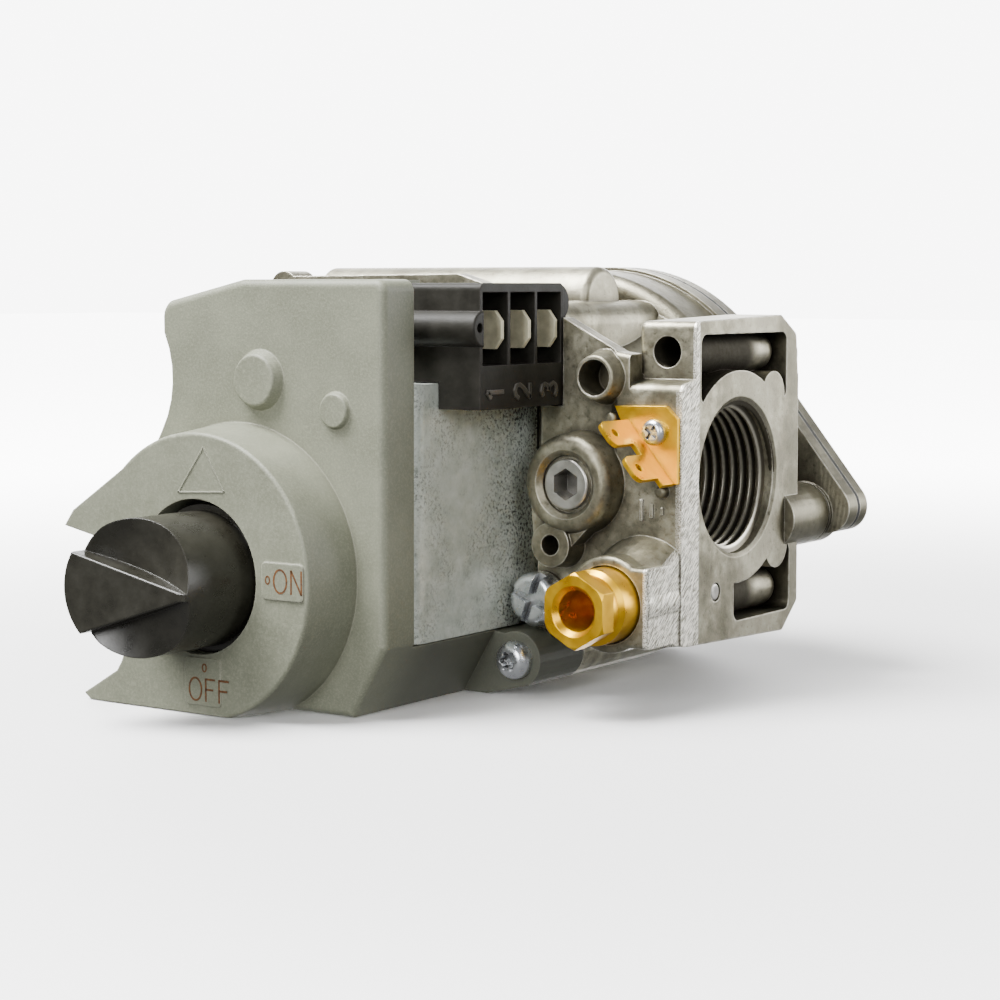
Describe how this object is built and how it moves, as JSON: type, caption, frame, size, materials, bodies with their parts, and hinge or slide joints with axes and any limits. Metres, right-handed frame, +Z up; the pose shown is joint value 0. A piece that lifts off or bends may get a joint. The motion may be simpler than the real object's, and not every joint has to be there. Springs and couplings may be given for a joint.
{
  "type": "combination gas control valve",
  "caption": "Gas control valve: ported die-cast body, round diaphragm housing, side-by-side solenoids under a moulded cover, rotary on/off knob, pilot outlet and push-on terminals.",
  "frame": {"origin": "centre of the outlet mouth, on the outlet flange's face", "axes": "+X out of the outlet along the port axis, -Y out of the knob's face, +Z up"},
  "size_m": [0.104, 0.1371, 0.0738],
  "materials": {
    "die_cast": "die cast, tumbled, filed at the edges",
    "cover_plastic": "moulded, fine texture",
    "knob_plastic": "moulded, soft gloss",
    "terminal_plastic": "moulded",
    "zinc_sheet": "galvanised sheet",
    "zinc_screw": "bright zinc plated",
    "bright_steel": "machined",
    "brass": "turned",
    "tinned_brass": "tin plated",
    "aluminium": "pressed",
    "rubber": "moulded",
    "coil_plastic": "moulded",
    "copper_wire": "enamelled wire, wound"
  },
  "bodies": {
    "housing": {"valve_body": "die_cast", "diaphragm_cover": "die_cast", "rear_screws": "zinc_screw", "diaphragm": "rubber", "main_spring": "bright_steel", "inlet_screen": "bright_steel", "operator_gasket": "rubber", "operator_plate": "zinc_sheet", "plate_screws": "zinc_screw", "coil_frame": "zinc_sheet", "terminal_block": "terminal_plastic", "terminal_tab_1": "tinned_brass", "terminal_tab_2": "tinned_brass", "terminal_tab_3": "tinned_brass", "operator_cover": "cover_plastic", "cover_screws": "zinc_screw", "shaft_gland": "brass", "shaft_seals": "rubber", "outlet_tap_plug": "bright_steel", "inlet_tap_plug": "bright_steel", "drilling_plug": "bright_steel", "pilot_nut": "brass", "pilot_ferrule": "brass", "pilot_filter": "brass", "pilot_adjust_cap": "zinc_screw", "ground_terminal": "brass", "ground_screw": "zinc_screw", "regulator_diaphragm": "rubber", "regulator_spring": "bright_steel", "regulator_cap": "coil_plastic", "main_bobbin": "coil_plastic", "main_winding": "copper_wire", "main_core_tube": "brass", "main_fixed_core": "bright_steel", "main_core_clip": "zinc_screw", "main_plunger_spring": "bright_steel", "pilot_bobbin": "coil_plastic", "pilot_winding": "copper_wire", "pilot_core_tube": "brass", "pilot_fixed_core": "bright_steel", "pilot_core_clip": "zinc_screw", "pilot_plunger_spring": "bright_steel"},
    "knob_group": {"knob": "knob_plastic", "knob_shaft": "bright_steel", "shaft_clip": "zinc_screw", "manual_disc": "coil_plastic"},
    "main_armature": {"main_plunger": "bright_steel", "main_plunger_pad": "rubber"},
    "pilot_armature": {"pilot_plunger": "bright_steel", "pilot_plunger_pad": "rubber"},
    "main_valve": {"diaphragm_plate": "zinc_screw", "main_poppet": "aluminium", "main_seat_disc": "rubber"},
    "regulator_adjuster": {"regulator_screw": "coil_plastic"},
    "pilot_adjuster": {"pilot_adjust_screw": "brass"}
  },
  "joints": [
    {"name": "knob_turn", "type": "hinge", "parent": "housing", "child": "knob_group", "pos_m": [-0.063, -0.07, -0.0151], "axis": [0, 1, 0], "range_deg": [0, 90]},
    {"name": "main_armature_lift", "type": "slide", "parent": "housing", "child": "main_armature", "axis": [0, -1, 0], "range_m": [0, 0.0016], "stiffness_N_per_m": 250, "springref_m": -0.002, "deforming": ["main_plunger_spring"]},
    {"name": "pilot_armature_lift", "type": "slide", "parent": "housing", "child": "pilot_armature", "axis": [0, -1, 0], "range_m": [0, 0.0016], "stiffness_N_per_m": 250, "springref_m": -0.002, "deforming": ["pilot_plunger_spring"]},
    {"name": "main_valve_lift", "type": "slide", "parent": "housing", "child": "main_valve", "axis": [0, 1, 0], "range_m": [0, 0.003], "stiffness_N_per_m": 400, "springref_m": -0.003, "deforming": ["main_spring", "diaphragm"]},
    {"name": "regulator_adjust", "type": "hinge", "parent": "housing", "child": "regulator_adjuster", "pos_m": [-0.066, -0.03, 0.014], "axis": [0, 1, 0], "range_deg": [-360, 360]},
    {"name": "pilot_adjust", "type": "hinge", "parent": "housing", "child": "pilot_adjuster", "pos_m": [-0.027, -0.017, -0.0208], "axis": [0, 1, 0], "range_deg": [-360, 360]}
  ]
}
